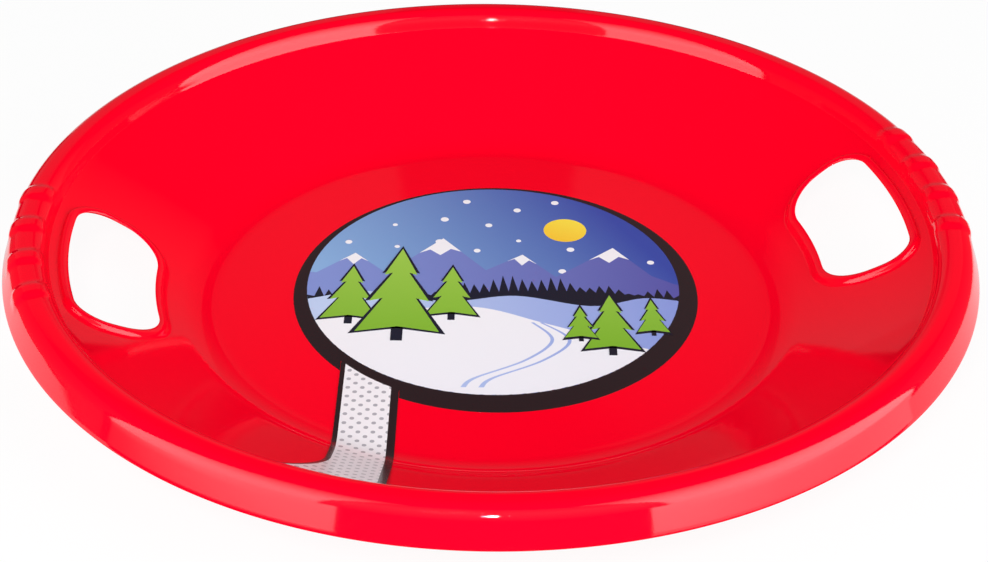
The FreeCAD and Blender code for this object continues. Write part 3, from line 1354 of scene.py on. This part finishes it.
@dataclass(frozen=True)
class LightCard:
    """A glowing card that shows in reflections, lights the colours or does both."""

    name: str
    azimuths: tuple[float, float]
    elevations: tuple[float, float]
    glow: tuple[Point, ...]
    distance: float = 1.6
    strength: float = 4.0
    lights_colours: bool = False
    mirrored: bool = True

    def build(self, view_turn: float) -> None:
        """Makes the card, a plane across its range of directions.

        Args:
            view_turn: Turn of the photograph's view about the dish's axis.
        """
        low, high = (self.distance * math.tan(math.radians(angle)) for angle in self.elevations)
        near, far = (math.pi / 2 - math.radians(angle) + view_turn for angle in self.azimuths)
        corners = [polar(self.distance, near, low), polar(self.distance, far, low),
                   polar(self.distance, near, high), polar(self.distance, far, high)]
        bpy.ops.mesh.primitive_plane_add(size=1.0)
        card = bpy.context.active_object
        card.name = self.name
        for point, corner in zip(card.data.vertices, corners):
            point.co = corner
        card.data.materials.append(self.make_glow(low, high))
        card.visible_camera = False
        card.visible_diffuse = self.lights_colours
        card.visible_glossy = self.mirrored
        card.visible_shadow = False
        card.visible_transmission = False

    def make_glow(self, low: float, high: float) -> Material:
        """Light that changes with height.

        Args:
            low: Height of the card's lower edge.
            high: Height of its upper edge.

        Returns:
            The card's material.
        """
        material = bpy.data.materials.new(self.name)
        material.use_nodes = True
        material.cycles.emission_sampling = "FRONT_BACK" if self.lights_colours else "NONE"
        tree = material.node_tree
        tree.nodes.remove(tree.nodes["Principled BSDF"])
        place = add_node(tree, "ShaderNodeTexCoord")
        axis = add_node(tree, "ShaderNodeSeparateXYZ")
        span = add_node(tree, "ShaderNodeMapRange", From_Min=low, From_Max=high)
        ramp = add_node(tree, "ShaderNodeValToRGB")
        light = add_node(tree, "ShaderNodeEmission", Strength=self.strength)
        stops = ramp.color_ramp.elements
        while len(stops) < len(self.glow):
            stops.new(0.5)
        for stop, (angle, level) in zip(stops, self.glow):
            height = self.distance * math.tan(math.radians(angle))
            stop.position = (height - low) / (high - low)
            share = level / self.strength
            stop.color = (share, share, share, 1.0)
        tree.links.new(place.outputs["Object"], axis.inputs["Vector"])
        tree.links.new(axis.outputs["Z"], span.inputs["Value"])
        tree.links.new(span.outputs["Result"], ramp.inputs["Fac"])
        tree.links.new(ramp.outputs["Color"], light.inputs["Color"])
        tree.links.new(light.outputs["Emission"], tree.nodes["Material Output"].inputs["Surface"])
        return material


@dataclass
class Studio:
    """A pale floor, even light all round and cards for the reflections."""

    floor_size: float = 12.0
    floor_light: float = 0.93
    floor_colour: Colour = (0.06, 0.06, 0.06)
    sky_light: float = 0.1

    def build(self, view_turn: float) -> None:
        """Sets up the whole studio.

        Args:
            view_turn: Turn of the photograph's view about the dish's axis.
        """
        self.lay_floor()
        self.light_sky()
        for card in self.cards():
            card.build(view_turn)
        bpy.context.scene.view_settings.view_transform = "Standard"

    @staticmethod
    def cards() -> list[LightCard]:
        """The cards, each with its range of directions in degrees and its glow at some elevations.

        Returns:
            The cards, the large ones at the sides first and the lamp last.
        """
        left_glow = ((-8.0, 0.15), (-6.0, 0.3), (-3.5, 1.0), (-0.5, 2.2), (4.0, 2.55), (11.0, 2.9),
                     (20.0, 3.2), (27.0, 3.1), (35.0, 2.7), (42.0, 2.2), (50.0, 1.6), (58.0, 0.95),
                     (66.0, 0.3))
        right_glow = ((-11.0, 1.3), (-5.0, 1.5), (-2.5, 1.9), (0.0, 2.9), (4.0, 3.2), (11.0, 3.55),
                      (20.0, 3.75), (27.0, 3.55), (35.0, 3.2), (42.0, 2.7), (50.0, 2.05), (58.0, 1.3),
                      (66.0, 0.5))
        ground_glow = ((-42.0, 0.75), (-9.0, 0.85))
        room_glow = ((-9.0, 0.08), (34.0, 0.03))
        wall_glow = ((6.0, 0.17), (18.0, 0.15), (25.0, 0.12), (32.0, 0.08), (38.0, 0.02))
        gap_glow = ((6.0, 0.13), (12.0, 0.12), (20.0, 0.08), (26.0, 0.04), (32.0, 0.0))
        far_ground_glow = ((-42.0, 0.75), (-9.0, 0.85), (0.0, 0.6), (6.0, 0.2))
        front_glow = ((4.0, 0.04), (16.0, 0.15), (28.0, 0.26), (38.0, 0.33), (48.0, 0.22), (62.0, 0.12))
        halo_glow = ((18.0, 0.1), (26.0, 0.5), (31.0, 0.6), (36.0, 0.5), (46.0, 0.1))
        lamp_glow = ((25.0, 120.0), (31.0, 120.0))
        lamp_light_glow = ((35.0, 50.0), (46.0, 50.0))
        return [
            LightCard("left_card", (-151.5, -100.5), (-8.0, 66.0), left_glow, lights_colours=True),
            LightCard("right_card", (86.0, 149.3), (-11.0, 66.0), right_glow, lights_colours=True),
            LightCard("left_ground_card", (-100.0, -30.0), (-42.0, -9.0), ground_glow),
            LightCard("right_ground_card", (30.0, 88.0), (-42.0, -9.0), ground_glow),
            LightCard("left_room_card", (-98.0, -46.0), (-9.0, 34.0), room_glow),
            LightCard("right_room_card", (34.0, 84.0), (-9.0, 34.0), room_glow),
            LightCard("left_far_ground_card", (-30.0, -16.0), (-42.0, 6.0), far_ground_glow),
            LightCard("right_far_ground_card", (16.0, 30.0), (-42.0, 6.0), far_ground_glow),
            LightCard("left_wall_card", (-46.0, -4.5), (6.0, 38.0), wall_glow),
            LightCard("middle_wall_card", (-4.5, 4.0), (6.0, 32.0), gap_glow),
            LightCard("right_wall_card", (4.0, 34.0), (6.0, 38.0), wall_glow),
            LightCard("front_card", (146.0, 212.0), (4.0, 62.0), front_glow, distance=1.5),
            LightCard("halo_card", (168.0, 187.0), (18.0, 46.0), halo_glow, distance=1.4),
            LightCard("lamp_card", (178.3, 180.3), (25.0, 31.0), lamp_glow, distance=1.2, strength=120.0),
            LightCard("lamp_light", (180.0, 194.0), (35.0, 46.0), lamp_light_glow, distance=1.1,
                      strength=50.0, lights_colours=True, mirrored=False),
        ]

    def lay_floor(self) -> None:
        """Lays a plain pale floor."""
        bpy.ops.mesh.primitive_plane_add(size=self.floor_size)
        floor = bpy.context.active_object
        floor.name = "floor"
        floor.visible_glossy = False
        recipe = Recipe("pale_floor")
        recipe.set(Base_Color=(*self.floor_colour, 1.0), Roughness=1.0, Specular_IOR_Level=0.0,
                   Emission_Color=WHITE, Emission_Strength=self.floor_light)
        recipe.material.cycles.emission_sampling = "NONE"
        floor.data.materials.append(recipe.material)

    def light_sky(self) -> None:
        """Lights the whole studio evenly, without showing in reflections."""
        world = bpy.data.worlds.new("studio_light")
        world.use_nodes = True
        set_inputs(world.node_tree.nodes["Background"], {"Color": WHITE, "Strength": self.sky_light})
        world.cycles_visibility.glossy = False
        bpy.context.scene.world = world


def main() -> None:
    """Builds the sled piece by piece, then the studio."""
    logging.basicConfig(level=logging.INFO, format="%(name)s: %(message)s")
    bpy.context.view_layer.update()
    finishes = Finishes()
    section = DishSection(solid_top=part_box("dish")[1].z)
    dish = Dish(section, HandHole(section))
    dish.dress(dish.build(), finishes)
    camera = PhotoCamera()
    camera.build()
    decal = RoundDecal(camera.view_turn)
    decal.dress(finishes)
    label = TailLabel(section, decal.middle)
    label.dress(label.build(), finishes)
    Studio().build(camera.view_turn)
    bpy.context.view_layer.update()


if __name__ == "__main__":
    main()
